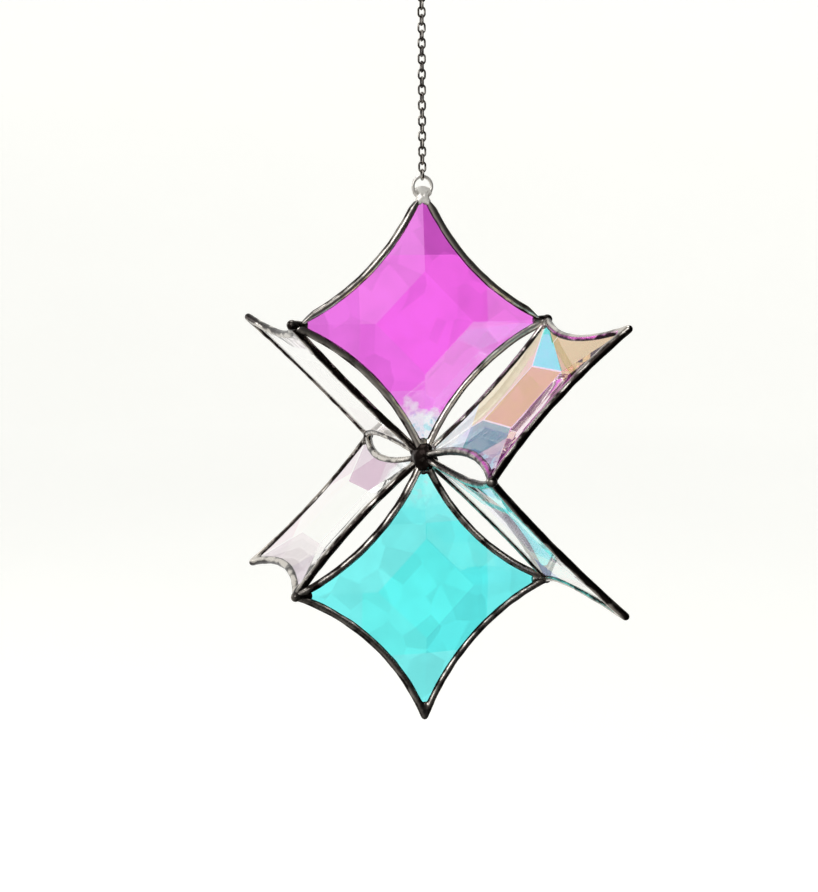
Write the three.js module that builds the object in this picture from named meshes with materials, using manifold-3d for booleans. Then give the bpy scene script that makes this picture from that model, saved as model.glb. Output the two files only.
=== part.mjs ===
// A hanging suncatcher: six concave, four-pointed panels of bevelled glass, each edged in soldered
// foil, meet tip to tip round one centre and hang from a fine chain with a ring at its top.
// Millimetres, +Z up. The origin is where a hook carries the hanging ring, the inside of its top.
// The first two panels lie in the X-Z plane, one above the centre and one below it.
import * as THREE from 'three';
import { mergeVertices } from 'three/addons/utils/BufferGeometryUtils.js';
import Module from 'manifold-3d';

// Driving dimensions
const PANEL_SIDE = 65; // straight line from one tip to the next
const SIDE_HOLLOW = 6.5; // how far each side curves in from that line
const SIDE_STEPS = 7; // flat steps along one side, an odd number
const CLEARANCE = 0.3; // between pieces that touch

const FRAME_WIDTH = 2.8;
const FRAME_DEPTH = 2.8;
const FRAME_CHAMFER = 0.8;
const WEB_REACH = 6; // solder fills each corner of the frame this far in from its tip

const GLASS_FRONT = 0.8; // middle plane to the front of the edge, at the middle of a side
const GLASS_BACK = 0.6; // middle plane to the flat back
const GLASS_INSET = 0.3; // edge of the glass, in from the middle line of the frame
const GLASS_TIP_CUT = 5; // blunt end of the glass, in from the tip
const TABLE_REACH = 17.5; // from the middle to the corners of the flat table on the front
const BEVEL_SLOPE = 0.13; // of the four bevels round the table
const TIP_BACK_LIFT = 0.25; // how much thinner the back is ground at each tip

const CENTER_JOINT_RADIUS = 4;
const TIP_JOINT_RADIUS = 2.3;
const TOP_JOINT_RADIUS = 2;
const TOP_JOINT_DROP = 3.3; // below the middle of the jump ring

const JUMP_RING_RADIUS = 3.3; // to the middle of its wire
const JUMP_RING_WIRE = 1.2;
const LINK_LENGTH = 4.1; // outside
const LINK_WIDTH = 3; // outside
const LINK_WIRE = 0.7;
const LINK_COUNT = 27; // odd, so that both rings lie in the plane of the top panel
const LINK_GAP = 0.15; // between two links that pull on each other
const HANGING_RING_RADIUS = 8.2; // to the middle of its wire
const HANGING_RING_WIRE = 1.6;
const RING_STEPS = 20; // flat steps round each wire ring

// Worked out from them
const TIP = PANEL_SIDE / Math.SQRT2; // from a panel's middle to its tips
const ARC_RADIUS = (PANEL_SIDE ** 2 / 4 + SIDE_HOLLOW ** 2) / (2 * SIDE_HOLLOW);
const SIDE_MIDDLE = PANEL_SIDE / 2 - SIDE_HOLLOW; // from a panel's middle to that of its sides
const ARC_CENTER = (SIDE_MIDDLE + ARC_RADIUS) / Math.SQRT2; // its x and its y
const TABLE_RISE = GLASS_FRONT + BEVEL_SLOPE * (SIDE_MIDDLE - TABLE_REACH / Math.SQRT2);
const RING_HEIGHT = 2 * TIP; // middle of the jump ring, above the star's centre
const RING_SEAT = JUMP_RING_RADIUS + JUMP_RING_WIRE / 2; // from the jump ring's middle to its foot
const FIRST_LINK = RING_HEIGHT + JUMP_RING_RADIUS - JUMP_RING_WIRE / 2 - LINK_GAP
  - LINK_WIRE + LINK_LENGTH / 2;
const LINK_PITCH = LINK_LENGTH - 2 * LINK_WIRE - LINK_GAP;
const LAST_LINK = FIRST_LINK + (LINK_COUNT - 1) * LINK_PITCH;
const HANGING_RING_HEIGHT = LAST_LINK + LINK_LENGTH / 2 - LINK_WIRE - LINK_GAP
  - HANGING_RING_WIRE / 2 + HANGING_RING_RADIUS;
const ORIGIN_HEIGHT = HANGING_RING_HEIGHT + HANGING_RING_RADIUS - HANGING_RING_WIRE / 2;

const Z = new THREE.Vector3(0, 0, 1);

const metal = (color, roughness) =>
  new THREE.MeshStandardMaterial({ color, roughness, metalness: 1 });
const glass = (color, opacity) =>
  new THREE.MeshStandardMaterial({ color, roughness: 0.05, metalness: 0, transparent: true, opacity });
const materials = {
  solder: metal('#55504c', 0.35),
  ring: metal('#c9c7c3', 0.2),
  chain: metal('#6d6a68', 0.3),
  magenta: glass('#ff5af0', 0.8),
  aqua: glass('#5fffff', 0.8),
  clear: glass('#eee8ee', 0.4),
};

const manifold = await Module();
manifold.setup();

function toSolid(geometry) {
  const bare = geometry.clone();
  bare.deleteAttribute('normal');
  bare.deleteAttribute('uv');
  const merged = mergeVertices(bare, 1e-4);
  return new manifold.Manifold(new manifold.Mesh({
    numProp: 3,
    vertProperties: new Float32Array(merged.attributes.position.array),
    triVerts: new Uint32Array(merged.index.array),
  }));
}

function toGeometry(solid) {
  const mesh = solid.getMesh();
  const geometry = new THREE.BufferGeometry();
  geometry.setAttribute('position', new THREE.BufferAttribute(mesh.vertProperties, 3));
  geometry.setIndex(new THREE.BufferAttribute(mesh.triVerts, 1));
  return geometry;
}

// The point of an outline at an angle round the middle of one side's arc. The panel's middle is
// at (0, 0) and its tips are on the axes. A positive inset moves the side towards the middle.
const onArc = (inset, angle) => new THREE.Vector2(
  ARC_CENTER + (ARC_RADIUS + inset) * Math.cos(angle),
  ARC_CENTER + (ARC_RADIUS + inset) * Math.sin(angle),
);

// One side, from near the tip on +X to near the tip on +Y, starting at this angle.
function sideFrom(inset, start) {
  const end = -Math.PI / 2 - (start + Math.PI);
  return Array.from({ length: SIDE_STEPS + 1 }, (_, i) =>
    onArc(inset, start + ((end - start) * i) / SIDE_STEPS));
}

// One side that ends on the lines square to the tips at this distance from the panel's middle.
function sideCutAt(inset, reach) {
  const start = -Math.PI + Math.acos((ARC_CENTER - reach) / (ARC_RADIUS + inset));
  return sideFrom(inset, start);
}

// All four sides, with the points of a side given for the first quarter.
const fourTimes = (points) => [0, 1, 2, 3].flatMap((quarter) =>
  points.map((p) => p.clone().rotateAround(new THREE.Vector2(), (quarter * Math.PI) / 2)));

// The flat outline that a panel's glass fills, grown on all sides by this much.
const glassOutline = (grown) =>
  fourTimes(sideCutAt(GLASS_INSET - grown, TIP - GLASS_TIP_CUT + grown));

// One panel's frame before it is joined: a chamfered band with round tips and a filled corner
// behind each, and a groove all round for the edge of the glass.
function bandSolid() {
  const tipAngle = Math.atan2(-ARC_CENTER, TIP - ARC_CENTER);
  const outerSide = sideFrom(-FRAME_WIDTH / 2, tipAngle);
  const tip = new THREE.Vector2(TIP, 0);
  const roundTip = [-Math.PI / 8, Math.PI / 8].map((angle) =>
    new THREE.Vector2(FRAME_WIDTH / 2, 0).rotateAround(new THREE.Vector2(), angle).add(tip));
  const shape = new THREE.Shape(fourTimes([...roundTip, ...outerSide]));
  shape.holes.push(new THREE.Path(fourTimes(sideCutAt(FRAME_WIDTH / 2, TIP - WEB_REACH))));
  const band = new THREE.ExtrudeGeometry(shape, {
    depth: FRAME_DEPTH - 2 * FRAME_CHAMFER,
    bevelThickness: FRAME_CHAMFER,
    bevelSize: FRAME_CHAMFER,
    bevelOffset: -FRAME_CHAMFER,
    bevelSegments: 1,
  });
  band.translate(0, 0, FRAME_CHAMFER - FRAME_DEPTH / 2);
  const groove = new THREE.ExtrudeGeometry(new THREE.Shape(glassOutline(CLEARANCE)), {
    depth: GLASS_FRONT + GLASS_BACK + 2 * CLEARANCE,
    bevelEnabled: false,
  });
  groove.translate(0, 0, -GLASS_BACK - CLEARANCE);
  return toSolid(band).subtract(toSolid(groove));
}

// Everything behind a plane, as a big block.
function blockBehind(point, normal) {
  const size = 4 * PANEL_SIDE;
  const block = new THREE.BoxGeometry(size, size, size).translate(0, 0, -size / 2);
  block.applyQuaternion(new THREE.Quaternion().setFromUnitVectors(Z, normal));
  return toSolid(block.translate(point.x, point.y, point.z));
}

const ballSolid = (radius, detail, x, y) =>
  toSolid(new THREE.IcosahedronGeometry(radius, detail).translate(x, y, 0));

// A frame with its tips cut back for the solder. Two panels that share a tip and the star's
// centre stand square to each other, so both frames are mitred on the plane between them. The
// neighbour at the -X tip stands on the side that hand gives, and the one at +X on the other.
function frameGeometry(hand, carriesRing) {
  let frame = bandSolid()
    .subtract(ballSolid(CENTER_JOINT_RADIUS + CLEARANCE, 2, 0, -TIP))
    .subtract(ballSolid(TIP_JOINT_RADIUS + CLEARANCE, 1, -TIP, 0))
    .subtract(ballSolid(TIP_JOINT_RADIUS + CLEARANCE, 1, TIP, 0));
  for (const side of [-1, 1]) {
    const inward = new THREE.Vector3(-side, 1, 0).normalize();
    const neighbour = new THREE.Vector3(0, 0, -side * hand);
    const normal = inward.sub(neighbour).normalize();
    const onPlane = new THREE.Vector3(side * TIP, 0, 0).addScaledVector(normal, CLEARANCE / 2);
    frame = frame.subtract(blockBehind(onPlane, normal));
  }
  if (carriesRing) {
    const seat = new THREE.Vector3(0, TIP - RING_SEAT - CLEARANCE, 0);
    frame = frame.subtract(blockBehind(seat, new THREE.Vector3(0, -1, 0)));
  }
  return toGeometry(frame);
}

// One glass: a flat square table on the front with its corners towards the tips and a flat bevel
// down to each side, and a flat back that is ground thinner towards each tip, from a straight fold.
function glassGeometry() {
  const side = SIDE_STEPS + 1;
  const outline = glassOutline(0);
  const fold = (SIDE_STEPS - 1) / 2; // the fold ends at this step of the side
  const foldReach = outline[fold].x;
  const frontZ = (p) =>
    TABLE_RISE - (BEVEL_SLOPE * (Math.abs(p.x) + Math.abs(p.y) - TABLE_REACH)) / Math.SQRT2;
  const backZ = (p) => {
    const reach = Math.max(Math.abs(p.x), Math.abs(p.y), foldReach);
    return -GLASS_BACK + (TIP_BACK_LIFT * (reach - foldReach)) / (TIP - foldReach);
  };
  const points = [];
  for (const p of outline) points.push(new THREE.Vector3(p.x, p.y, frontZ(p)));
  for (const p of outline) points.push(new THREE.Vector3(p.x, p.y, backZ(p)));
  const corner = new THREE.Vector2(TABLE_REACH, 0);
  for (const p of fourTimes([corner])) points.push(new THREE.Vector3(p.x, p.y, TABLE_RISE));

  const count = outline.length;
  const front = (i) => i % count;
  const back = (i) => count + (i % count);
  const table = (k) => 2 * count + (k % 4);
  const faces = [[table(0), table(1), table(2)], [table(0), table(2), table(3)]];
  for (let i = 0; i < count; i++) {
    faces.push([front(i), back(i), back(i + 1)], [front(i), back(i + 1), front(i + 1)]);
  }
  for (let k = 0; k < 4; k++) {
    const first = k * side;
    for (let i = 0; i < SIDE_STEPS; i++) {
      faces.push([table(i <= fold ? k : k + 1), front(first + i), front(first + i + 1)]);
    }
    faces.push([table(k), front(first + fold + 1), table(k + 1)]);
    faces.push([table(k + 1), front(first + SIDE_STEPS), front(first + side)]);
    const before = first + count - 1; // the last point of the side before this one
    for (let i = 0; i < fold; i++) {
      faces.push([back(first + i), back(before - i), back(before - i - 1)]);
      faces.push([back(first + i), back(before - i - 1), back(first + i + 1)]);
    }
  }
  const middle = [0, 1, 2, 3].flatMap((k) => [back(k * side + fold), back(k * side + fold + 1)]);
  for (let i = 1; i < middle.length - 1; i++) faces.push([middle[0], middle[i + 1], middle[i]]);

  const geometry = new THREE.BufferGeometry().setFromPoints(points);
  geometry.setIndex(faces.flat());
  return geometry;
}

// A ring of wire in the X-Z plane, middle at the origin.
const ringGeometry = (radius, wire, steps) =>
  new THREE.TorusGeometry(radius, wire / 2, 6, steps).rotateX(Math.PI / 2);

// A chain link standing in the X-Z plane: a ring of few steps, drawn apart into an oval.
function linkGeometry() {
  const steps = 8;
  const halfWidth = (LINK_WIDTH - LINK_WIRE) / 2;
  const radius = halfWidth / Math.cos(Math.PI / steps);
  const link = new THREE.TorusGeometry(radius, LINK_WIRE / 2, 5, steps);
  link.rotateZ(Math.PI / steps);
  const stretch = (LINK_LENGTH - LINK_WIDTH) / 2;
  const at = link.attributes.position;
  for (let i = 0; i < at.count; i++) at.setY(i, at.getY(i) + stretch * Math.sign(at.getY(i)));
  return link.rotateX(Math.PI / 2);
}

// The lump of solder that holds the jump ring on the cut top of its panel.
function topJointGeometry() {
  const lump = toSolid(new THREE.IcosahedronGeometry(TOP_JOINT_RADIUS, 2)
    .translate(0, 0, -TOP_JOINT_DROP));
  const wire = toSolid(ringGeometry(JUMP_RING_RADIUS, JUMP_RING_WIRE + 2 * CLEARANCE, RING_STEPS));
  const below = blockBehind(new THREE.Vector3(0, 0, -RING_SEAT), Z);
  return toGeometry(lump.subtract(wire).subtract(below));
}

function piece(name, geometry, material) {
  const mesh = new THREE.Mesh(geometry, materials[material]);
  mesh.name = name;
  return mesh;
}

// The star's own axes, from its centre to the six shared tips: up-left, up-right and to the rear.
const A = new THREE.Vector3(-1, 0, 1).normalize();
const B = new THREE.Vector3(1, 0, 1).normalize();
const C = new THREE.Vector3(0, 1, 0);
const opposite = (v) => v.clone().negate();

// Each panel spans two of the axes. Its table faces the way of the second crossed with the first.
const PANELS = [
  { place: 'top', tint: 'magenta', first: A, second: B, hand: -1 },
  { place: 'bottom', tint: 'aqua', first: opposite(A), second: opposite(B), hand: 1 },
  { place: 'upper_left', tint: 'clear', first: A, second: C, hand: 1 },
  { place: 'upper_right', tint: 'clear', first: opposite(C), second: B, hand: 1 },
  { place: 'lower_left', tint: 'clear', first: C, second: opposite(B), hand: -1 },
  { place: 'lower_right', tint: 'clear', first: opposite(A), second: opposite(C), hand: -1 },
];

const star = new THREE.Group();
star.position.z = -ORIGIN_HEIGHT;

const glassShape = glassGeometry();
for (const { place, tint, first, second, hand } of PANELS) {
  const panel = new THREE.Group();
  const up = first.clone().add(second).normalize();
  const right = second.clone().sub(first).normalize();
  const out = right.clone().cross(up);
  panel.quaternion.setFromRotationMatrix(new THREE.Matrix4().makeBasis(right, up, out));
  panel.position.copy(up).multiplyScalar(TIP);
  panel.add(piece(`glass_${tint}_${place}`, glassShape, tint));
  panel.add(piece(`frame_${place}`, frameGeometry(hand, place === 'top'), 'solder'));
  star.add(panel);
}

const centerBall = new THREE.IcosahedronGeometry(CENTER_JOINT_RADIUS, 2);
star.add(piece('solder_center', centerBall, 'solder'));
const TIP_JOINTS = {
  upper_left: A,
  upper_right: B,
  lower_left: opposite(B),
  lower_right: opposite(A),
  rear: C,
  front: opposite(C),
};
for (const [place, axis] of Object.entries(TIP_JOINTS)) {
  const ball = piece(`solder_${place}`, new THREE.IcosahedronGeometry(TIP_JOINT_RADIUS, 1), 'solder');
  ball.position.copy(axis).multiplyScalar(PANEL_SIDE);
  star.add(ball);
}

const topJoint = piece('solder_top', topJointGeometry(), 'solder');
topJoint.position.z = RING_HEIGHT;
star.add(topJoint);
const jumpRingShape = ringGeometry(JUMP_RING_RADIUS, JUMP_RING_WIRE, RING_STEPS);
const jumpRing = piece('jump_ring', jumpRingShape, 'ring');
jumpRing.position.z = RING_HEIGHT;
star.add(jumpRing);

const linkShape = linkGeometry();
for (let i = 0; i < LINK_COUNT; i++) {
  const link = piece(`chain_link_${String(i + 1).padStart(2, '0')}`, linkShape, 'chain');
  link.position.z = FIRST_LINK + i * LINK_PITCH;
  link.rotation.z = i % 2 === 0 ? Math.PI / 2 : 0;
  star.add(link);
}

const hangingRingShape = ringGeometry(HANGING_RING_RADIUS, HANGING_RING_WIRE, RING_STEPS);
const hangingRing = piece('hanging_ring', hangingRingShape, 'ring');
hangingRing.position.z = HANGING_RING_HEIGHT;
star.add(hangingRing);

const suncatcher = new THREE.Group();
suncatcher.add(star);
export default suncatcher;
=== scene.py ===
# %% [markdown]
# # A hanging star of bevelled glass
#
# Six concave, four-pointed panes of bevelled glass are edged in copper foil and solder, and joined
# tip to tip round one centre. The star hangs from a fine chain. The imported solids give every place
# and size, and each step below makes the finer surface of one kind of piece over them.

# %% Load the frame
import math

import bmesh
import bpy
from mathutils import Matrix, Vector, noise


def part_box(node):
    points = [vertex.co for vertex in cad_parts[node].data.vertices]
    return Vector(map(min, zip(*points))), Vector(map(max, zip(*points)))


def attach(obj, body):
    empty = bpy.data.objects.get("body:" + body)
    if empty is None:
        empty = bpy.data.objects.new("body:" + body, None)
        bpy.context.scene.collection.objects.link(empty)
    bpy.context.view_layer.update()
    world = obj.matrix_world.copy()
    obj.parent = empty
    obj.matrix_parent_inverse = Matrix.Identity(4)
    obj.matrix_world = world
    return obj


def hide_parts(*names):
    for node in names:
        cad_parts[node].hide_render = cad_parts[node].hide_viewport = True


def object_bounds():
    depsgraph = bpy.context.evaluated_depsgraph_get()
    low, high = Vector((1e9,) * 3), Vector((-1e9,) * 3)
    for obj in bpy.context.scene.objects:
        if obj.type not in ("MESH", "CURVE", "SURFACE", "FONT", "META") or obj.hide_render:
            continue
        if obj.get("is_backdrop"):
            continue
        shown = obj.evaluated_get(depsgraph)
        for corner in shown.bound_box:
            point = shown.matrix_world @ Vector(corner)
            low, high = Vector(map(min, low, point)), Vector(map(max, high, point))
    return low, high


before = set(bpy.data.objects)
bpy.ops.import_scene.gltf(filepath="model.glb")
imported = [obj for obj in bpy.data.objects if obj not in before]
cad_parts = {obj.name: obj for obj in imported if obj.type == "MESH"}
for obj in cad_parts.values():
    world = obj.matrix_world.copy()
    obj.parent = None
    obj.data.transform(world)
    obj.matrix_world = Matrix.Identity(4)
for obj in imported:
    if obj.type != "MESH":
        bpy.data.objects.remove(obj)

cad_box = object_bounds()
print("nodes in the frame:", len(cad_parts))

# %% [markdown]
# ## Where the panes are
#
# Every pane spans a square with one tip at the star's centre. Two tips are shared with a
# neighbour, and the solder joints of the frame mark them, so a pane is placed by its two shared
# tips alone. Its own axes are X towards the second shared tip, Y towards the free outer tip and Z
# out of its front.

# %% Measure the star
MM = 0.001


def middle(node):
    """The middle of a node of the frame."""
    low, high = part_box(node)
    return (Vector(low) + Vector(high)) / 2


CENTER = middle("solder_center")
SHARED_TIPS = ("upper_left", "upper_right", "lower_left", "lower_right", "rear", "front")
TIP_AT = {place: middle(f"solder_{place}") for place in SHARED_TIPS}
SIDE = (TIP_AT["upper_left"] - CENTER).length  # from one tip of a pane to the next
REACH = SIDE / math.sqrt(2)  # from a pane's middle to its tips
HOLLOW = 0.1 * SIDE  # how far a side curves in from the straight line between two tips
ARC_RADIUS = (SIDE**2 / 4 + HOLLOW**2) / (2 * HOLLOW)
ARC_MIDDLE = (SIDE / 2 - HOLLOW + ARC_RADIUS) / math.sqrt(2)  # x and y of an arc's centre
ARC_AT = Vector((ARC_MIDDLE, ARC_MIDDLE, 0))

PANES = {
    "top": ("glass_magenta_top", "upper_left", "upper_right"),
    "bottom": ("glass_aqua_bottom", "lower_right", "lower_left"),
    "upper_left": ("glass_clear_upper_left", "upper_left", "rear"),
    "upper_right": ("glass_clear_upper_right", "front", "upper_right"),
    "lower_left": ("glass_clear_lower_left", "rear", "lower_left"),
    "lower_right": ("glass_clear_lower_right", "lower_right", "front"),
}


def pane_matrix(first, second):
    """Takes a pane modelled flat at the origin to its place between two shared tips."""
    to_first = (TIP_AT[first] - CENTER).normalized()
    to_second = (TIP_AT[second] - CENTER).normalized()
    up = (to_first + to_second).normalized()
    right = (to_second - to_first).normalized()
    turn = Matrix((right, up, right.cross(up))).transposed().to_4x4()
    return Matrix.Translation(CENTER + up * REACH) @ turn


print(f"a pane is {SIDE / MM:.1f} mm from tip to tip, its sides curve in {HOLLOW / MM:.1f} mm")

# %% [markdown]
# ## From mesh to piece
#
# Each finished piece is a mesh at the origin that stands for one or more nodes of the frame and
# rides with it. Keeping that in one function means that no piece is forgotten.

# %% Make pieces
pieces = []


def piece(name, bm, materials, nodes):
    """Turns a bmesh into a piece that stands for nodes of the frame."""
    mesh = bpy.data.meshes.new(name)
    bm.to_mesh(mesh)
    bm.free()
    for material in materials:
        mesh.materials.append(material)
    obj = bpy.data.objects.new(name, mesh)
    bpy.context.scene.collection.objects.link(obj)
    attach(obj, "root")
    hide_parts(*nodes)
    pieces.append(obj)


def smooth(bm):
    """Shades every face smoothly."""
    for face in bm.faces:
        face.smooth = True


# %% [markdown]
# ## Colours and nodes
#
# Colours are written as they look on a screen, in sRGB hex, and one function turns them to the
# linear values that the shaders work in. A second one adds a node with its settings and links, so
# that a material reads as a list of what it is made of. Every pattern's scale comes from a real
# size in millimetres.

# %% Colour and node helpers
def srgb(code):
    """A linear RGBA colour from a hex code."""
    channels = [int(code[i : i + 2], 16) / 255 for i in (1, 3, 5)]
    return [c / 12.92 if c <= 0.04045 else ((c + 0.055) / 1.055) ** 2.4 for c in channels] + [1.0]


def add(tree, kind, inputs=None, **settings):
    """Adds a node, sets its properties, and fills or links its inputs."""
    node = tree.nodes.new(kind)
    for name, value in settings.items():
        setattr(node, name, value)
    for name, value in (inputs or {}).items():
        if isinstance(value, bpy.types.NodeSocket):
            tree.links.new(value, node.inputs[name])
        else:
            node.inputs[name].default_value = value
    return node


def new_material(name):
    """An empty material, its node tree and its output."""
    material = bpy.data.materials.new(name)
    material.use_nodes = True
    tree = material.node_tree
    tree.nodes.clear()
    return material, tree, tree.nodes.new("ShaderNodeOutputMaterial")


def per_metre(size_mm):
    """The scale of a pattern whose features are this many millimetres apart."""
    return 1 / (size_mm * MM)


# %% [markdown]
# ## Coated glass
#
# The panes are soda-lime glass, cut and ground, with a thin iridescent coat on the front. The body
# is clear, so the shader is plain transmission with an index of 1.52. The coat shows twice: as a
# tint that changes from facet to facet, which each mesh carries in its own colour attribute, and
# as a coloured gloss, for which the shader has a thin film. That colour attribute also holds
# painted reflections: the tones that the panes and the room round a pane would mirror into it or
# show through it. The film's thickness in nanometres decides which colour it mirrors, and its
# index how much. A low index keeps the tint deep.
#
# Coats are never even. Clouds of 9 mm and flakes of 10 mm with straight edges make the tint deeper
# and lighter. Near the centre joint the heat of the iron has bleached it, with flecks of 2 mm.

# %% Uneven film
CLOUD_MM = 9
FLAKE_MM = 10
FLAKE_BLUR = 0.12  # low, so that flakes keep straight edges


def uneven_tint(tree, place, clouds, unevenness):
    """The tint of each facet, deeper and lighter in clouds and flakes."""
    # Each facet's colour is the coat's tint with painted reflections of the panes and room round it.
    tint_and_reflection = add(tree, "ShaderNodeAttribute", attribute_name="tint_and_reflection")
    flakes = add(
        tree,
        "ShaderNodeTexVoronoi",
        {"Vector": place, "Scale": per_metre(FLAKE_MM), "Smoothness": FLAKE_BLUR},
        feature="SMOOTH_F1",
    )
    flake_tone = add(tree, "ShaderNodeSeparateColor", {"Color": flakes.outputs["Color"]})
    both = add(
        tree, "ShaderNodeMix", {"Factor": 0.5, "A": clouds, "B": flake_tone.outputs["Red"]}
    )
    depth = add(
        tree,
        "ShaderNodeMapRange",
        {
            "Value": both.outputs["Result"],
            "From Min": 0.25,
            "From Max": 0.7,
            "To Min": 1 - unevenness,
            "To Max": 1.0,
        },
    )
    tint = add(
        tree,
        "ShaderNodeMix",
        {"Factor": 1.0, "A": tint_and_reflection.outputs["Color"], "B": depth.outputs["Result"]},
        data_type="RGBA",
        blend_type="MULTIPLY",
    )
    return tint.outputs["Result"]


# %% Heat near the centre joint
FLECK_MM = 2
CLOUD_REACH = 14 * MM  # how far a cloud pushes back the edge of the bleached patch
FLECK_REACH = 9 * MM  # how far a fleck does
BLEACHED_TO = 25 * MM  # from the star's centre, where there is neither cloud nor fleck
COATED_FROM = 31 * MM


def heated_film(tree, place, clouds, tint, bleached, flecked):
    """The tint, which gives way to bleached glass with flecks towards the star's centre."""
    away = add(tree, "ShaderNodeVectorMath", {0: place, 1: CENTER}, operation="DISTANCE")
    uneven = add(
        tree,
        "ShaderNodeMath",
        {0: clouds, 1: CLOUD_REACH, 2: away.outputs["Value"]},
        operation="MULTIPLY_ADD",
    )
    fine = add(
        tree, "ShaderNodeTexNoise", {"Vector": place, "Scale": per_metre(FLECK_MM), "Detail": 2.0}
    )
    ragged = add(
        tree,
        "ShaderNodeMath",
        {0: fine.outputs["Fac"], 1: FLECK_REACH, 2: uneven.outputs["Value"]},
        operation="MULTIPLY_ADD",
    )
    heat = add(
        tree,
        "ShaderNodeMapRange",
        {
            "Value": ragged.outputs["Value"],
            "From Min": BLEACHED_TO,
            "From Max": COATED_FROM,
            "To Min": 1.0,
            "To Max": 0.0,
        },
    )
    flecks = add(
        tree,
        "ShaderNodeMapRange",
        {"Value": fine.outputs["Fac"], "From Min": 0.5, "From Max": 0.62},
    )
    burnt = add(
        tree,
        "ShaderNodeMix",
        {"Factor": flecks.outputs["Result"], "A": srgb(bleached), "B": srgb(flecked)},
        data_type="RGBA",
    )
    coat = add(
        tree,
        "ShaderNodeMix",
        {"Factor": heat.outputs["Result"], "A": tint, "B": burnt.outputs["Result"]},
        data_type="RGBA",
    )
    return coat.outputs["Result"]


# %% Coated glass
GLASS_IOR = 1.52


def coated_glass(name, film_nm, film_ior, unevenness, bleached, flecked):
    """Clear glass with a tinted, iridescent coat and painted reflections; the last two are its
    colours where heated.
    """
    material, tree, output = new_material(name)
    place = add(tree, "ShaderNodeTexCoord").outputs["Object"]
    cloud_noise = add(
        tree,
        "ShaderNodeTexNoise",
        {"Vector": place, "Scale": per_metre(CLOUD_MM), "Detail": 1.0, "Roughness": 0.4},
    )
    clouds = cloud_noise.outputs["Fac"]
    tint = uneven_tint(tree, place, clouds, unevenness)
    glass = add(
        tree,
        "ShaderNodeBsdfPrincipled",
        {
            "Base Color": heated_film(tree, place, clouds, tint, bleached, flecked),
            "Roughness": 0.0,
            "IOR": GLASS_IOR,
            "Transmission Weight": 1.0,
            "Thin Film Thickness": film_nm,
            "Thin Film IOR": film_ior,
        },
    )
    tree.links.new(glass.outputs["BSDF"], output.inputs["Surface"])
    return material


magenta_glass = coated_glass(
    "magenta_coated_glass", 382, 1.75, unevenness=0.30, bleached="#e4e4fa", flecked="#8ccdec"
)
aqua_glass = coated_glass(
    "aqua_coated_glass", 300, 1.6, unevenness=0.28, bleached="#50f2f4", flecked="#6ce4ea"
)
clear_glass = coated_glass(
    "clear_iridescent_glass_painted_reflections", 380, 1.4, unevenness=0.05, bleached="#f2f4ff", flecked="#dcecf8"
)
for glass in (magenta_glass, aqua_glass, clear_glass):
    print(f"{glass.name}: {len(glass.node_tree.nodes)} nodes")

# %% [markdown]
# The back of a pane and its cut sides carry no coat. They are the same glass, and only a faint
# haze of polish, in spots of 3 mm, changes how they look.

# %% Bare glass
HAZE_MM = 3

bare_glass, tree, output = new_material("bare_polished_glass")
place = add(tree, "ShaderNodeTexCoord")
haze = add(
    tree, "ShaderNodeTexNoise", {"Vector": place.outputs["Object"], "Scale": per_metre(HAZE_MM)}
)
polish = add(
    tree,
    "ShaderNodeMix",
    {"Factor": haze.outputs["Fac"], "A": srgb("#fafdfc"), "B": srgb("#ffffff")},
    data_type="RGBA",
)
glass = add(
    tree,
    "ShaderNodeBsdfPrincipled",
    {
        "Base Color": polish.outputs["Result"],
        "Roughness": 0.0,
        "IOR": GLASS_IOR,
        "Transmission Weight": 1.0,
    },
)
tree.links.new(glass.outputs["BSDF"], output.inputs["Surface"])
print(f"{bare_glass.name}: {len(tree.nodes)} nodes")

# %% [markdown]
# ## Solder, ring wire and chain wire
#
# Solder over copper foil is silvery and sets with a mirror-like skin. A black patina was put
# over it and wiped off the crown of the bead again. Each bead carries a "crown" attribute, and
# noise breaks it up: the crown is painted bright, partly for that wear and partly as a painted
# highlight down the bead's middle, and the sides next to the glass are dark with patina and
# painted shade. The top frame is painted lighter still, as painted light falling on it from
# above. At the centre the patina is whole, and under the jump ring there is none. Both rings are
# bright plated wire, and the chain is plain steel a little dulled. A thin dull skin of oxide on
# the bare solder and the rings scatters some light, so they are not quite fully metallic.

# %% Worn metal with a painted highlight
WEAR_EDGE = 0.18  # how softly the bright metal runs out into the dark
GLOSS_RANGE = 0.1  # how much rougher and smoother than its mean a surface gets
GRAIN_DEPTH = 0.1 * MM


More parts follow.
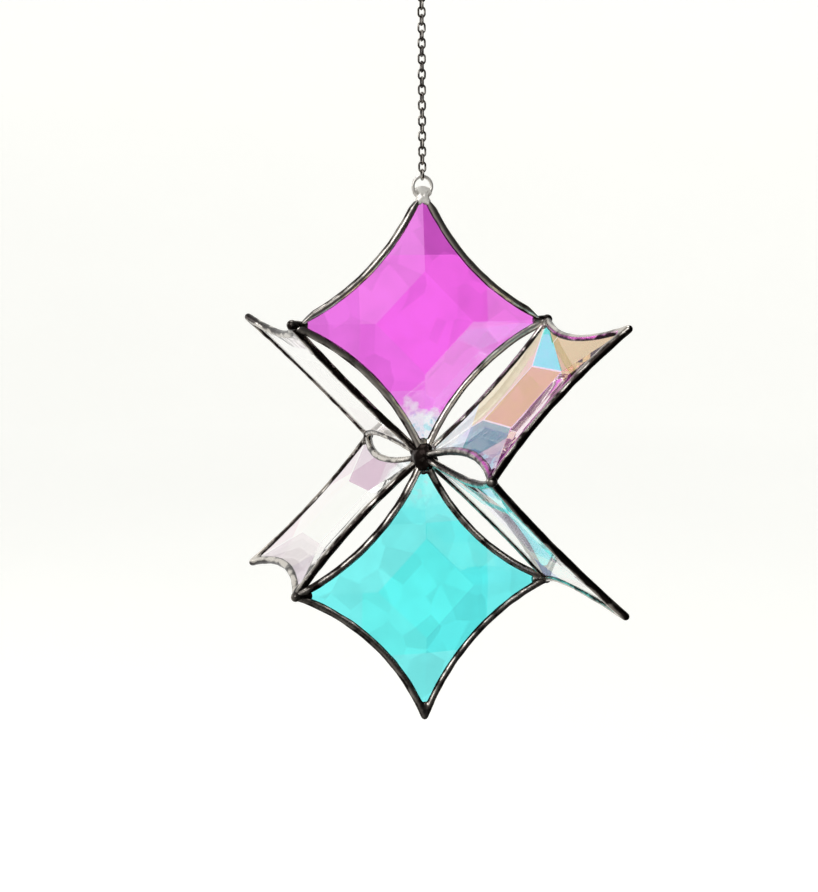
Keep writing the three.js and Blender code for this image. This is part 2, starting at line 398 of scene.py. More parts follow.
def worn_and_highlit_metal(
    name, dark, bright, wear_mm, start, roughness, grain_mm, grain, crowned=0.0, metallic=1.0
):
    """Metal with a dark finish, bright where slow noise plus a bead's crown is above start.

    Crowned says how much the crown adds, as a painted highlight, and grain how strongly the pits
    show.
    """
    material, tree, output = new_material(name)
    place = add(tree, "ShaderNodeTexCoord").outputs["Object"]
    clouds = add(
        tree, "ShaderNodeTexNoise", {"Vector": place, "Scale": per_metre(wear_mm), "Detail": 4.0}
    )
    # The crown's share of the bright colour is a painted highlight down each bead's middle; the
    # noise's share is wear.
    crown = add(tree, "ShaderNodeAttribute", attribute_name="crown")
    wear_and_highlight = add(
        tree,
        "ShaderNodeMath",
        {0: crown.outputs["Fac"], 1: crowned, 2: clouds.outputs["Fac"]},
        operation="MULTIPLY_ADD",
    )
    lightened = add(
        tree,
        "ShaderNodeMapRange",
        {"Value": wear_and_highlight.outputs["Value"], "From Min": start, "From Max": start + WEAR_EDGE},
    )
    colour = add(
        tree,
        "ShaderNodeMix",
        {"Factor": lightened.outputs["Result"], "A": srgb(dark), "B": srgb(bright)},
        data_type="RGBA",
    )
    gloss = add(
        tree,
        "ShaderNodeMapRange",
        {
            "Value": clouds.outputs["Fac"],
            "To Min": roughness + GLOSS_RANGE,
            "To Max": roughness - GLOSS_RANGE,
        },
    )
    pits = add(
        tree, "ShaderNodeTexNoise", {"Vector": place, "Scale": per_metre(grain_mm), "Detail": 3.0}
    )
    bump = add(
        tree,
        "ShaderNodeBump",
        {"Height": pits.outputs["Fac"], "Strength": grain, "Distance": GRAIN_DEPTH},
    )
    metal = add(
        tree,
        "ShaderNodeBsdfPrincipled",
        {
            "Base Color": colour.outputs["Result"],
            "Metallic": metallic,
            "Roughness": gloss.outputs["Result"],
            "Normal": bump.outputs["Normal"],
        },
    )
    tree.links.new(metal.outputs["BSDF"], output.inputs["Surface"])
    return material


# %% Solder and wire
solder = worn_and_highlit_metal(
    "patinated_highlit_solder",
    "#2b2523",
    "#d2ccc4",
    wear_mm=6,
    start=0.74,
    roughness=0.28,
    grain_mm=0.9,
    grain=0.5,
    crowned=0.42,
)
# The top frame's solder is a lighter copy: painted light that falls on it from above.
top_solder_painted_lit = worn_and_highlit_metal(
    "top_solder_painted_lit",
    "#352e2b",
    "#dcd6cf",
    wear_mm=6,
    start=0.65,
    roughness=0.3,
    grain_mm=0.9,
    grain=0.5,
    crowned=0.42,
)
dark_solder = worn_and_highlit_metal(
    "blackened_solder",
    "#2b2422",
    "#857d77",
    wear_mm=3,
    start=0.55,
    roughness=0.34,
    grain_mm=0.8,
    grain=0.8,
)
bare_solder = worn_and_highlit_metal(
    "bare_bright_solder",
    "#8a847d",
    "#f8f5f0",
    wear_mm=2.5,
    start=0.34,
    roughness=0.42,
    grain_mm=0.7,
    grain=0.3,
    metallic=0.6,
)
ring_wire = worn_and_highlit_metal(
    "bright_plated_wire",
    "#d4d0ca",
    "#f6f3ee",
    wear_mm=3,
    start=0.35,
    roughness=0.36,
    grain_mm=0.5,
    grain=0.1,
    metallic=0.8,
)
chain_wire = worn_and_highlit_metal(
    "steel_chain_wire",
    "#4e4844",
    "#c4beb6",
    wear_mm=2,
    start=0.46,
    roughness=0.3,
    grain_mm=0.4,
    grain=0.2,
)
metals = (solder, top_solder_painted_lit, dark_solder, bare_solder, ring_wire, chain_wire)
print("metals:", ", ".join(m.name for m in metals))

# %% [markdown]
# ## The panes
#
# A glass cutter scores the concave outline, then grinds four flat bevels on the front, from a
# square table down to each side, and thins the back across each tip. The mesh is made the same
# way: a spun arc gives one side, three turned copies close the outline, one extrusion makes the
# blank, and each ground facet is one plane cut, filled flat.

# %% Sides, cuts and score lines
GLASS_STEPS = 28  # along each side
TOLERANCE = 1e-8  # points nearer to a cutting plane than this lie on it
MERGE = 1e-6  # points nearer to each other than this are one


def spun_sides(bm, geometry, radius, steps):
    """Spins a start on the X axis round one side's arc, then turns three copies round Z."""
    lean = math.asin(ARC_MIDDLE / radius)
    bmesh.ops.spin(
        bm, geom=geometry, cent=ARC_AT, axis=(0, 0, -1), angle=2 * lean - math.pi / 2, steps=steps
    )
    side = bm.verts[:] + bm.edges[:] + bm.faces[:]
    for quarter in (1, 2, 3):
        copy = bmesh.ops.duplicate(bm, geom=side)
        bmesh.ops.rotate(
            bm,
            verts=[e for e in copy["geom"] if isinstance(e, bmesh.types.BMVert)],
            cent=(0, 0, 0),
            matrix=Matrix.Rotation(quarter * math.pi / 2, 3, "Z"),
        )


def grind(bm, point, normal):
    """Cuts away what lies beyond a plane and closes the cut with one flat face."""
    everything = bm.verts[:] + bm.edges[:] + bm.faces[:]
    cut = bmesh.ops.bisect_plane(
        bm,
        geom=everything,
        dist=TOLERANCE,
        plane_co=point,
        plane_no=normal,
        clear_outer=True,
    )
    rim = [e for e in cut["geom_cut"] if isinstance(e, bmesh.types.BMEdge)]
    bmesh.ops.contextual_create(bm, geom=rim)


def score(bm, point, normal):
    """Draws a line across the faces where a plane meets them."""
    everything = bm.verts[:] + bm.edges[:] + bm.faces[:]
    bmesh.ops.bisect_plane(
        bm, geom=everything, dist=TOLERANCE, plane_co=point, plane_no=normal
    )


# %% Grind a blank
TABLE_REACH = 17.5 * MM  # from the middle to the table's corners
TABLE_HALF = TABLE_REACH / math.sqrt(2)  # from the middle to the table's sides
BEVEL_SLOPE = 0.13
GLASS_BACK = 0.6 * MM
GLASS_FRONT = 0.8 * MM  # at the middle of each side
GLASS_INSET = 0.3 * MM  # the glass ends this far inside the frame's middle line
TABLE_RISE = GLASS_FRONT + BEVEL_SLOPE * (SIDE / 2 - HOLLOW - TABLE_HALF)
FOLD = 0.5 * REACH  # from the middle to where a tip begins
BACK_SLOPE = 0.011  # of the back across each tip
LONG_FOLD_ACROSS = Vector((TABLE_REACH, REACH, 0)).normalized()
TIP_CUT = 3.2 * MM  # blunt end of the glass, under the solder


def ground_blank(long_fold=False):
    """One pane, flat at the origin, with its front towards +Z.

    With a long fold, the back of the outer tip is ground from a line that starts at the second
    shared tip and touches a corner of the table. The front is scored along each fold, so that
    each side's bevel falls into parts.
    """
    bm = bmesh.new()
    radius = ARC_RADIUS + GLASS_INSET
    start = ARC_MIDDLE - math.sqrt(radius**2 - ARC_MIDDLE**2)
    bmesh.ops.create_vert(bm, co=(start, 0, -GLASS_BACK))
    spun_sides(bm, bm.verts[:], radius, GLASS_STEPS)
    bmesh.ops.remove_doubles(bm, verts=bm.verts, dist=MERGE)
    bmesh.ops.contextual_create(bm, geom=bm.edges[:])
    lid = bmesh.ops.extrude_face_region(bm, geom=bm.faces[:])
    lid_verts = [e for e in lid["geom"] if isinstance(e, bmesh.types.BMVert)]
    bmesh.ops.translate(bm, verts=lid_verts, vec=(0, 0, TABLE_RISE + GLASS_BACK))
    bmesh.ops.recalc_face_normals(bm, faces=bm.faces)
    for quarter in range(4):
        turn = Matrix.Rotation(quarter * math.pi / 2, 3, "Z")
        to_side = turn @ Vector((1, 1, 0)).normalized()
        to_tip = turn @ Vector((1, 0, 0))
        table_edge = to_side * TABLE_HALF + Vector((0, 0, TABLE_RISE))
        grind(bm, table_edge, to_side * BEVEL_SLOPE + Vector((0, 0, 1)))
        fold, across = to_tip * FOLD, to_tip
        if long_fold and quarter == 1:
            fold, across = Vector((REACH, 0, 0)), LONG_FOLD_ACROSS
        grind(bm, fold - Vector((0, 0, GLASS_BACK)), across * BACK_SLOPE - Vector((0, 0, 1)))
        grind(bm, to_tip * (REACH - TIP_CUT), to_tip)
        score(bm, fold, across)
    bmesh.ops.recalc_face_normals(bm, faces=bm.faces)
    return bm


blank = ground_blank()
print("a ground blank has", len(blank.faces), "faces")
blank.free()

# %% [markdown]
# ## A tint and a painted reflection for each facet
#
# Every facet has its own tint. On the magenta and aqua panes it is the coat's tint, thinner on some
# facets than on others, with painted reflections in it. On the clear panes it is almost all painted
# reflection: the tones that the panes and the room round them would mirror into the glass and show
# through it. The tints go into a colour attribute, facet by facet, found from where each face is and
# points.

# %% List the tints
# The table comes first. Each side's bevel runs from one tip to the next, from the second shared
# tip to the outer tip, on to the first shared tip, the centre and back. It has three tints: near
# the tip where it starts, in the middle, and near the tip where it ends. Beyond the long fold
# there are two more, for the front and for the ground part of the back.
# On the magenta and aqua panes these are the coat's tint with painted reflections; on the clear
# panes nearly all are painted reflections, such as the gold table and the teal and lilac patches.
TINTS_AND_REFLECTIONS = {
    "top": {
        "table": "#ff30f6",
        "bevels": [
            ["#f044ea", "#f02ce6", "#b41cb0"],
            ["#f050ec", "#fe48f6", "#f03eec"],
            ["#e83ae4", "#f234ec", "#f04af0"],
            ["#f048f2", "#f636f0", "#f046f0"],
        ],
    },
    "bottom": {
        "table": "#28ffff",
        "bevels": [
            ["#3cf4f8", "#30fafa", "#40f2f6"],
            ["#40eef2", "#24e8ec", "#34ecf0"],
            ["#34ecf2", "#20eaee", "#34e2e8"],
            ["#38ecf2", "#34fafa", "#40f6fa"],
        ],
    },
    "upper_left": {
        "table": "#fdf4f3",
        "bevels": [
            ["#f4eae8", "#faf4f4", "#fbf6f6"],
            ["#fbf6f6", "#fbf2f2", "#fbf6f6"],
            ["#f6e2e6", "#f0dede", "#dcceca"],
            ["#d8c8c4", "#ecdcda", "#f0e2e4"],
        ],
    },
    "upper_right": {
        "table": "#cca43c",
        "bevels": [
            ["#2cffff", "#2cffff", "#f8f4ee"],
            ["#f4eee4", "#a07484", "#a88ca4"],
            ["#8c98b4", "#00747e", "#b4d4f8"],
            ["#e8ecff", "#fce0a8", "#ecd0a0"],
        ],
        "long fold": ["#fbf8f2", "#ccaa6c"],
    },
    "lower_left": {
        "table": "#fffefb",
        "bevels": [
            ["#ccb4cc", "#ecd8e2", "#e0c8d8"],
            ["#ecd4e0", "#fdf4f6", "#e8d0e0"],
            ["#c09ab8", "#a05c8e", "#b084a8"],
            ["#e8d4de", "#fbf6f2", "#f0e4ec"],
        ],
    },
    "lower_right": {
        "table": "#c8c4ec",
        "bevels": [
            ["#f4eeee", "#fff4f2", "#fff2f2"],
            ["#fff8f0", "#fff8f0", "#9090d4"],
            ["#fff4f0", "#fff8f2", "#fcf0e8"],
            ["#e8dcbc", "#dcdcb0", "#e8e4d0"],
        ],
    },
}


# %% Tint the facets
LEVEL = 0.99999  # a face is a table where its normal's Z is above this
STEEP = 0.5  # and a cut side where it is below this


def facet_tint_and_reflection(face, tints_and_reflections):
    """The coat's tint with painted reflections on a face of the flat pane, or None where it has no
    coat.
    """
    at, normal = face.calc_center_median(), face.normal
    if abs(normal.z) < STEEP:
        return None
    beyond = (at - Vector((REACH, 0, 0))).dot(LONG_FOLD_ACROSS) > 0
    if "long fold" in tints_and_reflections and beyond:
        return tints_and_reflections["long fold"][0 if normal.z > 0 else 1]
    if normal.z < 0:
        return None
    if normal.z > LEVEL:
        return tints_and_reflections["table"]
    quarter = math.floor(math.atan2(normal.y, normal.x) / (math.pi / 2)) % 4
    at = Matrix.Rotation(-quarter * math.pi / 2, 3, "Z") @ at
    part = 0 if at.x > FOLD else 2 if at.y > FOLD else 1
    return tints_and_reflections["bevels"][quarter][part]


def paint(face, tint_and_reflection, colour):
    """Gives one colour to a whole face."""
    for loop in face.loops:
        loop[tint_and_reflection] = srgb(colour)


def tint_facets(bm, tints_and_reflections):
    """Colours the coated faces, and gives all others the second material."""
    tint_and_reflection = bm.loops.layers.float_color.new("tint_and_reflection")
    for face in bm.faces:
        tint = facet_tint_and_reflection(face, tints_and_reflections)
        face.material_index = 0 if tint else 1
        paint(face, tint_and_reflection, tint or "#ffffff")


# %% [markdown]
# Polishing eases the sharp ridges between facets, which a narrow bevel gives. On the clear panes
# the eased ridges are left untinted, a painted highlight that shows as fine white lines.

# %% Ease the ridges and place the panes
RIDGE = 0.3 * MM
RIDGE_ANGLE = 0.005  # in radians; edges that bend less than this are no ridges


def ease_ridges(bm, lightened):
    """Bevels the edges between coated facets; lightened ones are left untinted, as a painted
    highlight.
    """
    ridges = [
        e
        for e in bm.edges
        if len(e.link_faces) == 2
        and any(f.material_index == 0 for f in e.link_faces)
        and all(abs(f.normal.z) > STEEP for f in e.link_faces)
        and e.calc_face_angle() > RIDGE_ANGLE
    ]
    eased = bmesh.ops.bevel(
        bm, geom=ridges, offset=RIDGE, affect="EDGES", segments=2, profile=0.5, material=-1
    )
    # Painted highlight: the eased ridges of the clear panes lose their tint and show white.
    if lightened:
        for face in eased["faces"]:
            paint(face, bm.loops.layers.float_color["tint_and_reflection"], "#ffffff")


PANE_GLASS = {"top": magenta_glass, "bottom": aqua_glass}
for place, (node, first, second) in PANES.items():
    bm = ground_blank(long_fold="long fold" in TINTS_AND_REFLECTIONS[place])
    tint_facets(bm, TINTS_AND_REFLECTIONS[place])
    ease_ridges(bm, lightened=place not in PANE_GLASS)
    bmesh.ops.transform(bm, matrix=pane_matrix(first, second), verts=bm.verts)
    glasses = [PANE_GLASS.get(place, clear_glass), bare_glass]
    piece(f"pane_{place}", bm, glasses, [node])
print("panes:", len(pieces))

# %% [markdown]
# ## Beads of solder
#
# Solder flows along the foil and sets as a rounded bead, full at the tips and never quite even. A
# swept tube would be too clean and would cross itself at the tips. Here an oval is spun along each
# side, lumps are added at the tips, and a voxel remesh melts them into one skin, which is then
# relaxed and given slow unevenness.

# %% Melt shapes into one bead
VOXEL = 0.3 * MM
SWELL_MM = 5
SWELL_SHARE = 0.85  # of the unevenness
RIPPLE_MM = 1.6
RIPPLE_SHARE = 0.15
NOISE_STEP = 7.3  # from one piece's patch of noise to the next one's


def melt(bm, relax, unevenness, seed, even_crown=None):
    """One skin over all shapes in a bmesh, relaxed, then swollen and thinned by slow noise.

    Relax is how often it is smoothed. Its crown attribute is 1 where the skin faces along Z and 0
    at the sides, or has one even value all over. Solder paints a highlight from it.
    """
    mesh = bpy.data.meshes.new("melting")
    bm.to_mesh(mesh)
    bm.free()
    obj = bpy.data.objects.new("melting", mesh)
    bpy.context.scene.collection.objects.link(obj)
    remesh = obj.modifiers.new("melt", "REMESH")
    remesh.mode = "VOXEL"
    remesh.voxel_size = VOXEL
    skin = bmesh.new()
    skin.from_object(obj, bpy.context.evaluated_depsgraph_get())
    bpy.data.objects.remove(obj)
    bpy.data.meshes.remove(mesh)
    for _ in range(relax):
        bmesh.ops.smooth_vert(
            skin, verts=skin.verts, factor=0.5, use_axis_x=True, use_axis_y=True, use_axis_z=True
        )
    skin.normal_update()
    shift = Vector((seed * NOISE_STEP, 0, 0))
    for vert in skin.verts:
        swell = noise.noise(vert.co * per_metre(SWELL_MM) + shift)
        ripple = noise.noise(vert.co * per_metre(RIPPLE_MM) + shift)
        vert.co += vert.normal * unevenness * (SWELL_SHARE * swell + RIPPLE_SHARE * ripple)
    # The crown marks where a painted highlight runs down the middle of each bead.
    crown = skin.verts.layers.float.new("crown")
    for vert in skin.verts:
        vert[crown] = abs(vert.normal.z) if even_crown is None else even_crown
    smooth(skin)
    return skin


def lump(bm, at, sizes, turn=Matrix.Identity(4)):
    """A round lump of solder with three half sizes."""
    matrix = Matrix.Translation(at) @ turn @ Matrix.Diagonal((*sizes, 1))
    bmesh.ops.create_uvsphere(bm, u_segments=24, v_segments=16, radius=1, matrix=matrix)


# %% Run a bead round a pane
BEAD_WIDTH = 2.8 * MM
BEAD_DEPTH = 2.8 * MM
BEAD_STEPS = 32  # along each side


def bead_loop():
    """The bead round one pane, flat at the origin."""
    bm = bmesh.new()
    oval = Matrix.Diagonal((BEAD_WIDTH, BEAD_DEPTH, 1, 1))
    upright = Matrix.Rotation(math.pi / 2, 4, "X")
    bmesh.ops.create_circle(bm, segments=20, radius=0.5, matrix=upright @ oval)
    lean = math.asin(ARC_MIDDLE / ARC_RADIUS)
    bmesh.ops.rotate(bm, verts=bm.verts, cent=(0, 0, 0), matrix=Matrix.Rotation(lean, 3, "Z"))
    bmesh.ops.translate(bm, verts=bm.verts, vec=(REACH, 0, 0))
    spun_sides(bm, bm.edges[:], ARC_RADIUS, BEAD_STEPS)
    ends = [e for e in bm.edges if e.is_boundary]
    bmesh.ops.holes_fill(bm, edges=ends, sides=0)
    bmesh.ops.recalc_face_normals(bm, faces=bm.faces)
    return bm


bm = bead_loop()
print("a bead starts from", len(bm.faces), "faces, closed:", all(e.is_manifold for e in bm.edges))
bm.free()

# %% [markdown]
# ## The frames
#
# Solder also fills each corner behind the tip: almost 7 mm deep at the star's centre, where the
# iron stays longest, and about 5 mm at the other tips. A flattened lump in each corner does that,
# and a small round one makes each tip blunt. The top frame is cut short and has its corners cut
# off, because its jump ring is soldered on there.

# %% Frames
WEB_AT = {"shared": 3.0 * MM, "outer": 3.0 * MM, "center": 3.8 * MM}  # from the tip
WEB_LENGTH = 0.75  # half a lump's length, as a share of its distance from the tip
WEB_WIDTH = 1.5 * MM
WEB_DEPTH = 1.15 * MM
TIP_ROUND = 1.35 * MM
TOP_END = REACH - 3.9 * MM  # where the top frame is cut short
TOP_CORNER = (1.8 * MM, REACH - 4.2 * MM)  # a point on the slanted cut
TOP_CORNER_ACROSS = (0.7, 0.7)  # that cut faces half way between sideways and up


def frame_bead(place, number):
    """The solder round one pane, flat at the origin."""
    bm = bead_loop()
    for turn, tip in enumerate(("shared", "outer", "shared", "center")):
        if place == "top" and tip == "outer":
            continue
        rotation = Matrix.Rotation(turn * math.pi / 2, 4, "Z")
        spot = rotation @ Vector((REACH - WEB_AT[tip], 0, 0))
        lump(bm, spot, (WEB_AT[tip] * WEB_LENGTH, WEB_WIDTH, WEB_DEPTH), rotation)
        lump(bm, rotation @ Vector((REACH, 0, 0)), [TIP_ROUND] * 3)
    if place == "top":
        grind(bm, (0, TOP_END, 0), (0, 1, 0))
        for side in (-1, 1):
            corner = (side * TOP_CORNER[0], TOP_CORNER[1], 0)
            grind(bm, corner, (side * TOP_CORNER_ACROSS[0], TOP_CORNER_ACROSS[1], 0))
    return melt(bm, relax=6, unevenness=0.16 * MM, seed=number)


for number, (place, (_, first, second)) in enumerate(PANES.items()):
    bm = frame_bead(place, number)
    print(f"frame_{place}: {len(bm.faces)} faces")
    bmesh.ops.transform(bm, matrix=pane_matrix(first, second), verts=bm.verts)
    # The top frame gets the lighter solder, painted light from above.
    finish = top_solder_painted_lit if place == "top" else solder
    piece(f"bead_{place}", bm, [finish], [f"frame_{place}"])

# %% [markdown]
# ## The joints
#
# Where tips meet, extra solder bridges the frames in a lump that runs out along each of them. A
# ball with a tapering arm for each tip, melted the same way, gives those soft webs. The ball at
# the centre is the most uneven, because six tips were soldered there one after another.

# %% Arms of solder
def arm(bm, start, along, length, thick, thin):
    """A tapering arm from start; thick and thin are its radii."""
    turn = Vector((0, 0, 1)).rotation_difference(along).to_matrix().to_4x4()
    matrix = Matrix.Translation(start + along * (length / 2)) @ turn
    bmesh.ops.create_cone(
        bm,
        cap_ends=True,
        segments=20,
        radius1=thick,
        radius2=thin,
        depth=length,
        matrix=matrix,
    )


def tip_axes(shared=None):
    """Directions into the panes that meet at a shared tip, or at the centre if none is given."""
    axes = []
    for _, first, second in PANES.values():
        to_first = TIP_AT[first] - CENTER
        to_second = TIP_AT[second] - CENTER
        if shared is None:
            axes.append((to_first + to_second).normalized())
        elif shared == first:
            axes.append((to_second - to_first).normalized())
        elif shared == second:
            axes.append((to_first - to_second).normalized())
    return axes


# %% Joints
CENTER_BALL = 3.8 * MM
TIP_BALL = 1.8 * MM
TIP_BALL_OUT = 0.2 * MM  # how far its middle lies outside the tip
TIP_CROWN = 0.62  # rubbed a little bright all round

bm = bmesh.new()
lump(bm, CENTER, [CENTER_BALL] * 3)
for axis in tip_axes():
    arm(bm, CENTER, axis, length=4.6 * MM, thick=3.1 * MM, thin=2.2 * MM)
skin = melt(bm, relax=5, unevenness=0.9 * MM, seed=10)
print("joint_center:", len(skin.faces), "faces")
piece("joint_center", skin, [dark_solder], ["solder_center"])

for number, place in enumerate(SHARED_TIPS):
    bm = bmesh.new()
    outward = (TIP_AT[place] - CENTER).normalized()
    lump(bm, TIP_AT[place] + outward * TIP_BALL_OUT, [TIP_BALL] * 3)
    for axis in tip_axes(place):
        arm(bm, TIP_AT[place], axis, length=5.5 * MM, thick=1.7 * MM, thin=1.2 * MM)
    skin = melt(bm, relax=3, unevenness=0.35 * MM, seed=11 + number, even_crown=TIP_CROWN)
    print(f"joint_{place}: {len(skin.faces)} faces")
    piece(f"joint_{place}", skin, [solder], [f"solder_{place}"])

# %% [markdown]
# ## The rings
#
# The jump ring and the hanging ring are round wire bent to a circle. A torus would do, but a small
# circle spun once round leaves its steps free to choose, and the chain's links use it as well.

# %% Rings
JUMP_WIRE = 1.2 * MM
HANGING_WIRE = 1.6 * MM


def wire_ring(radius, wire, steps, segments):
    """A ring of wire in the X-Z plane round the origin."""
    bm = bmesh.new()
    bmesh.ops.create_circle(bm, segments=segments, radius=wire / 2)
    bmesh.ops.translate(bm, verts=bm.verts, vec=(radius, 0, 0))
    bmesh.ops.spin(
        bm,
        geom=bm.edges[:],
        cent=(0, 0, 0),
        axis=(0, 1, 0),
        angle=2 * math.pi,
        steps=steps,
        use_merge=True,
    )
    bmesh.ops.remove_doubles(bm, verts=bm.verts, dist=MERGE)
    bmesh.ops.recalc_face_normals(bm, faces=bm.faces)
    smooth(bm)
    return bm


def ring_in(node, wire):
    """A ring that fills a node's height."""
    low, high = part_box(node)
    bm = wire_ring((high[2] - low[2] - wire) / 2, wire, steps=72, segments=18)
    bmesh.ops.translate(bm, verts=bm.verts, vec=middle(node))
    return bm


for node, wire in (("jump_ring", JUMP_WIRE), ("hanging_ring", HANGING_WIRE)):
    ring = ring_in(node, wire)
    print(f"{node}: {len(ring.faces)} faces")
    piece(f"{node}_wire", ring, [ring_wire], [node])

# %% [markdown]
# The jump ring sits on the cut tip of the top frame in a drop of solder, which fills its lower
# half and runs down onto both arms of the frame.

# %% Solder under the jump ring
DROP_RISE = 1.4 * MM  # from the ring's foot to the drop's middle
DROP_SIZES = (3.6 * MM, 1.0 * MM, 2.2 * MM)  # half of its width, depth and height
FRAME_SLOPE = (0.65, 0, -0.76)  # how the top frame's right arm runs down from its tip

ring_foot = middle("jump_ring")
ring_foot.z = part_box("jump_ring")[0][2] + JUMP_WIRE / 2
bm = bmesh.new()
lump(bm, ring_foot + Vector((0, 0, DROP_RISE)), DROP_SIZES)
for side in (-1, 1):
    down = Vector((side * FRAME_SLOPE[0], 0, FRAME_SLOPE[2])).normalized()
    arm(bm, ring_foot, down, length=3.2 * MM, thick=1.6 * MM, thin=1.3 * MM)
skin = melt(bm, relax=3, unevenness=0.25 * MM, seed=20)
print("joint_top:", len(skin.faces), "faces")
piece("joint_top", skin, [bare_solder], ["solder_top"])

# %% [markdown]
# ## The chain
#
# Fine cable chain is made of alike oval links, each turned a quarter from the next, so that they
# hang in each other. A link is a small ring drawn apart: its upper half moves up and its lower half
# down, and the steps between them become the straight legs.

# %% Chain
CHAIN_WIRE = 0.7 * MM
LINK_STEPS = 20
link_names = sorted(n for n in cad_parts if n.startswith("chain_link_"))


def chain_link(node):
    """An oval link that fills a node's height, and lies the way that the node is wider."""
    low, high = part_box(node)
    width = max(high[0] - low[0], high[1] - low[1])
    length = high[2] - low[2]
    bm = wire_ring((width - CHAIN_WIRE) / 2, CHAIN_WIRE, LINK_STEPS, segments=12)
    half_step = Matrix.Rotation(math.pi / LINK_STEPS, 3, "Y")
    bmesh.ops.rotate(bm, verts=bm.verts, cent=(0, 0, 0), matrix=half_step)
    apart = (length - width) / 2
    for direction in (-1, 1):
        half = [v for v in bm.verts if v.co.z * direction > 0]
        bmesh.ops.translate(bm, verts=half, vec=(0, 0, apart * direction))
    if high[1] - low[1] > high[0] - low[0]:
        turn = Matrix.Rotation(math.pi / 2, 3, "Z")
        bmesh.ops.rotate(bm, verts=bm.verts, cent=(0, 0, 0), matrix=turn)
    bmesh.ops.translate(bm, verts=bm.verts, vec=middle(node))
    return bm


for node in link_names:
    piece(f"{node}_wire", chain_link(node), [chain_wire], [node])
print("links:", len(link_names), "and pieces in all:", len(pieces))

# %% [markdown]
# ## The studio
#
# Glass shows what is behind it, so the floor sweeps up into a pale wall all round, as a roll of
# paper does in a studio. It glows a little, to stay even. Metal and gloss would look flat if they
# mirrored that wall, so reflections skip it and see a darker room with soft lamps instead.

# %% Floor and wall
FLOOR_DROP = 0.16  # below the lowest tip; these five are in metres
BOOTH = 2.4  # radius of the flat floor
CURVE = 0.9  # radius of the sweep from the floor to the wall
WALL = 2.5  # height of the wall above the sweep
FLOOR_MERGE = 1e-5


def booth():
    """A round floor that sweeps up into a wall, facing inwards."""
    floor_z = cad_box[0][2] - FLOOR_DROP
    bm = bmesh.new()
    bmesh.ops.create_vert(bm, co=(0, 0, 0))
    flat = bmesh.ops.extrude_vert_indiv(bm, verts=bm.verts[:])["verts"]
    bmesh.ops.translate(bm, verts=flat, vec=(BOOTH, 0, 0))
    bmesh.ops.spin(
        bm, geom=flat, cent=(BOOTH, 0, CURVE), axis=(0, -1, 0), angle=math.pi / 2, steps=16
    )
    bm.verts.ensure_lookup_table()
    rim = max(bm.verts, key=lambda v: v.co.z)
    wall = bmesh.ops.extrude_vert_indiv(bm, verts=[rim])["verts"]
    bmesh.ops.translate(bm, verts=wall, vec=(0, 0, WALL))
    bmesh.ops.spin(
        bm,
        geom=bm.edges[:],
        cent=(0, 0, 0),
        axis=(0, 0, 1),
        angle=2 * math.pi,
        steps=64,
        use_merge=True,
    )
    bmesh.ops.remove_doubles(bm, verts=bm.verts, dist=FLOOR_MERGE)
    bmesh.ops.recalc_face_normals(bm, faces=bm.faces)
    bmesh.ops.reverse_faces(bm, faces=bm.faces)
    bmesh.ops.translate(bm, verts=bm.verts, vec=(0, 0, floor_z))
    smooth(bm)
    return bm


# %% Paper
PAPER_MM = 60  # fibres are far too fine to show, so this is how its tone drifts

paper, tree, output = new_material("pale_paper")
grain = add(tree, "ShaderNodeTexNoise", {"Scale": per_metre(PAPER_MM), "Detail": 3.0})
tone = add(
    tree,
    "ShaderNodeMix",
    {"Factor": grain.outputs["Fac"], "A": srgb("#b9b8b4"), "B": srgb("#bfbeba")},
    data_type="RGBA",
)
sheet = add(
    tree,
    "ShaderNodeBsdfPrincipled",
    {
        "Base Color": tone.outputs["Result"],
        "Roughness": 0.9,
        "Emission Color": srgb("#f4f5f3"),
        "Emission Strength": 0.68,
    },
)
tree.links.new(sheet.outputs["BSDF"], output.inputs["Surface"])
bm = booth()
mesh = bpy.data.meshes.new("floor")
bm.to_mesh(mesh)
bm.free()
mesh.materials.append(paper)
floor = bpy.data.objects.new("floor", mesh)
bpy.context.scene.collection.objects.link(floor)
floor.visible_glossy = False
floor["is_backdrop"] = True
print("floor:", len(mesh.polygons), "faces")

# %% [markdown]
# ## Light
#
# A large soft lamp at the front left draws long highlights along the solder, and smaller ones
# above and behind light its other sides. Gloss sees the room around in place of the wall: grey on
# the left, almost black on the right and white behind, so that round metal shows dark and bright
# streaks side by side.

# %% Lamps
def lamp(name, offset, size, power):
    """A square soft lamp, in metres and watts, that faces the star's centre."""
    data = bpy.data.lights.new(name, "AREA")
    data.size = size
    data.energy = power
    obj = bpy.data.objects.new(name, data)
    obj.location = CENTER + Vector(offset)
    obj.rotation_euler = Vector(offset).to_track_quat("Z", "Y").to_euler()
    bpy.context.scene.collection.objects.link(obj)
    print(f"{name}: {Vector(offset).length:.2f} m from the star")


lamp("left_softbox", (-0.62, -0.80, 0.58), size=0.75, power=5.0)
lamp("top_softbox", (-0.1, 0.1, 1.0), size=0.5, power=3.0)
lamp("back_softbox", (-0.8, 0.7, 0.3), size=0.4, power=1.5)

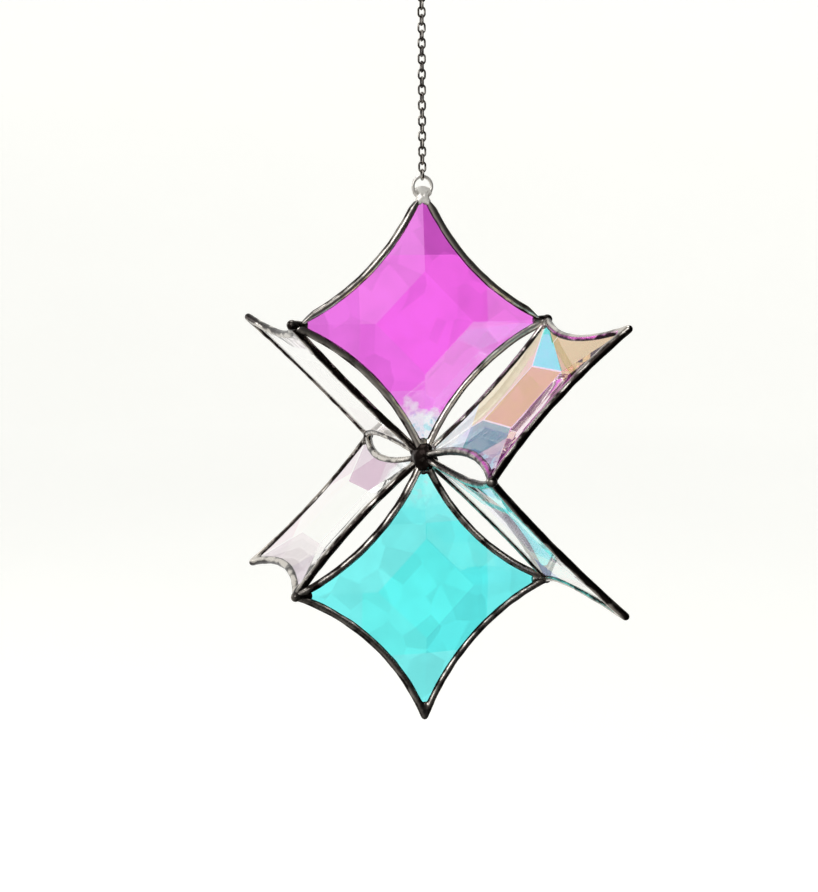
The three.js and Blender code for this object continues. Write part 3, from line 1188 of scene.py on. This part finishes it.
# %% The room that gloss sees
world = bpy.data.worlds.new("room")
bpy.context.scene.world = world
world.use_nodes = True
tree = world.node_tree
direction = add(tree, "ShaderNodeTexCoord")
axes = add(tree, "ShaderNodeSeparateXYZ", {"Vector": direction.outputs["Generated"]})
leftwards = add(
    tree, "ShaderNodeMapRange", {"Value": axes.outputs["X"], "From Min": 0.2, "From Max": -0.9}
)
sides = add(
    tree,
    "ShaderNodeMix",
    {"Factor": leftwards.outputs["Result"], "A": srgb("#2c2b2a"), "B": srgb("#a5a29e")},
    data_type="RGBA",
)
behind = add(
    tree, "ShaderNodeMapRange", {"Value": axes.outputs["Y"], "From Min": 0.3, "From Max": 0.8}
)
room = add(
    tree,
    "ShaderNodeMix",
    {"Factor": behind.outputs["Result"], "A": sides.outputs["Result"], "B": srgb("#f8f8f5")},
    data_type="RGBA",
)
tree.links.new(room.outputs["Result"], tree.nodes["Background"].inputs["Color"])
print("room:", len(tree.nodes), "nodes")

# %% [markdown]
# Light that gets in at a slant runs along inside a pane and is mirrored many times before it
# leaves. The usual limits cut it off and leave black wedges, so they are raised. The Standard view
# shows colours as they are written.

# %% Light paths and colour view
ALL_BOUNCES = 24
GLASS_BOUNCES = 20

scene = bpy.context.scene
scene.view_settings.view_transform = "Standard"
scene.cycles.max_bounces = ALL_BOUNCES
scene.cycles.glossy_bounces = GLASS_BOUNCES
scene.cycles.transmission_bounces = GLASS_BOUNCES
print("bounces:", ALL_BOUNCES, "in all,", GLASS_BOUNCES, "in glass")

# %% [markdown]
# ## The camera
#
# The camera looks slightly down on the star from just left of the front, with a lens of moderate
# length, and stands a little to the left of the line through the star's centre.

# %% Camera
AZIMUTH = math.radians(-18.27)  # from straight in front towards the right
ELEVATION = math.radians(7.10)
ROLL = math.radians(-0.32)
DISTANCE = 8.908 * SIDE  # from the star's centre along the line of sight
OFFSET = (-0.077 * SIDE, 0.054 * SIDE)  # to the right and up, across the line of sight
SENSOR = 36  # height in millimetres
LENS = 67.84  # in millimetres

back = Vector(
    (
        math.sin(AZIMUTH) * math.cos(ELEVATION),
        -math.cos(AZIMUTH) * math.cos(ELEVATION),
        math.sin(ELEVATION),
    )
)
right = Vector((math.cos(AZIMUTH), math.sin(AZIMUTH), 0))
up = back.cross(right)
tilt = Matrix.Rotation(ROLL, 3, "Z")
camera_axes = Matrix((right, up, back)).transposed() @ tilt
eye = CENTER + camera_axes @ Vector((*OFFSET, DISTANCE))
camera_data = bpy.data.cameras.new("camera")
camera_data.sensor_fit = "VERTICAL"
camera_data.sensor_height = SENSOR
camera_data.lens = LENS
camera_data.clip_start = 0.01
camera = bpy.data.objects.new("camera", camera_data)
camera.matrix_world = Matrix.Translation(eye) @ camera_axes.to_4x4()
scene.collection.objects.link(camera)
scene.camera = camera
print(f"camera: {DISTANCE:.3f} m from the star, lens {LENS} mm")

# %% [markdown]
# ## Sizes
#
# The dressed part is meant to be as large as the solids, so the box round each is printed.

# %% Print the sizes and finish
bpy.context.view_layer.update()
own_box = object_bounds()
for label, box in (("solids", cad_box), ("dressed", own_box)):
    print(label, [round((top - bottom) / MM, 1) for bottom, top in zip(*box)], "mm")
